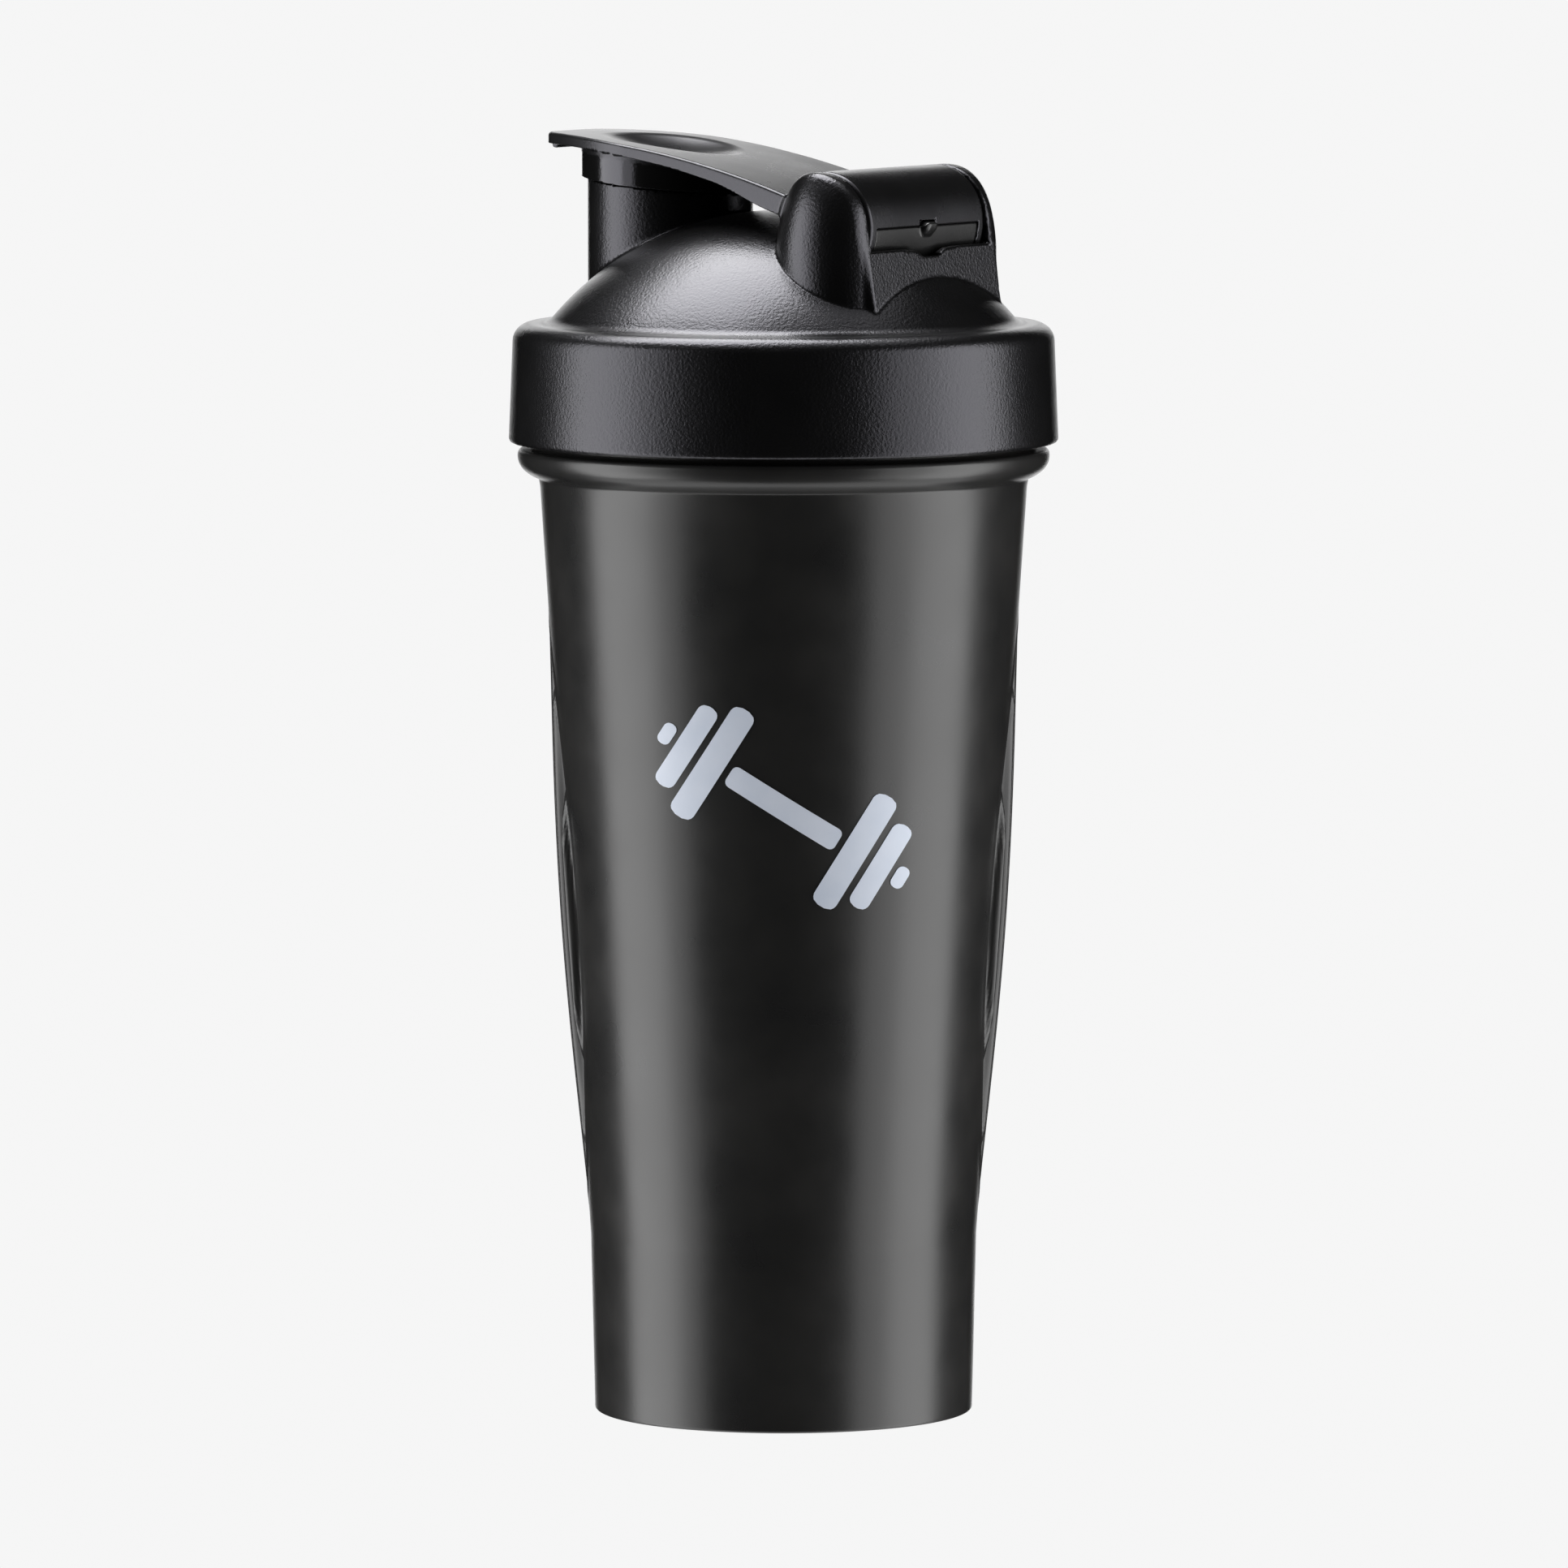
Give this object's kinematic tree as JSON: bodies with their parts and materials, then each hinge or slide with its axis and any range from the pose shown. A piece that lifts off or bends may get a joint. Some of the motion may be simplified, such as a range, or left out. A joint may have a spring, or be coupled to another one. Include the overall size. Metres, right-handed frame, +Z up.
{
  "type": "protein shaker bottle",
  "caption": "Tapered smoked shaker cup with ribbed side grips, a domed screw lid with a drinking spout, a hinged flip cap and a loose wire whisk ball.",
  "frame": {"origin": "centre of the foot, on the surface that the bottle stands on", "axes": "+Z up along the bottle's axis, -Y towards the side with the print, grips at +X and -X"},
  "size_m": [0.0948, 0.0948, 0.2204],
  "materials": {
    "cup_plastic": "satin, smoked, faintly see-through",
    "lid_plastic": "fine moulded grain",
    "cap_plastic": "satin, smoother than the lid",
    "seal_rubber": "matt silicone",
    "wire_steel": "drawn stainless wire",
    "print_ink": "screen-printed ink"
  },
  "bodies": {
    "cup": {"cup": "cup_plastic", "front_print": "print_ink"},
    "seal_ring": {"lid_seal_ring": "seal_rubber"},
    "lid": {"lid": "lid_plastic", "hinge_pin": "wire_steel"},
    "flip_cap": {"flip_cap": "cap_plastic", "spout_seal": "seal_rubber", "hinge_clip": "cap_plastic"},
    "ball": {"whisk_ball": "wire_steel"}
  },
  "joints": [
    {"name": "lid_lift", "type": "slide", "parent": "cup", "child": "seal_ring", "axis": [0, 0, 1], "range_m": [0, 0.018]},
    {"name": "lid_turn", "type": "hinge", "parent": "seal_ring", "child": "lid", "pos_m": [0, 0, 0.175], "axis": [0, 0, 1], "range_deg": [0, 1080]},
    {"name": "cap_hinge", "type": "hinge", "parent": "lid", "child": "flip_cap", "pos_m": [0.01679, -0.01176, 0.206], "axis": [0.5736, 0.8192, 0], "range_deg": [0, 135]},
    {"name": "ball_slide", "type": "slide", "parent": "cup", "child": "ball", "axis": [0, 0, 1], "range_m": [0, 0.13]}
  ],
  "couplings": [
    {"joint": "lid_lift", "follows": "lid_turn", "m_per_rad": 0.00095493}
  ]
}
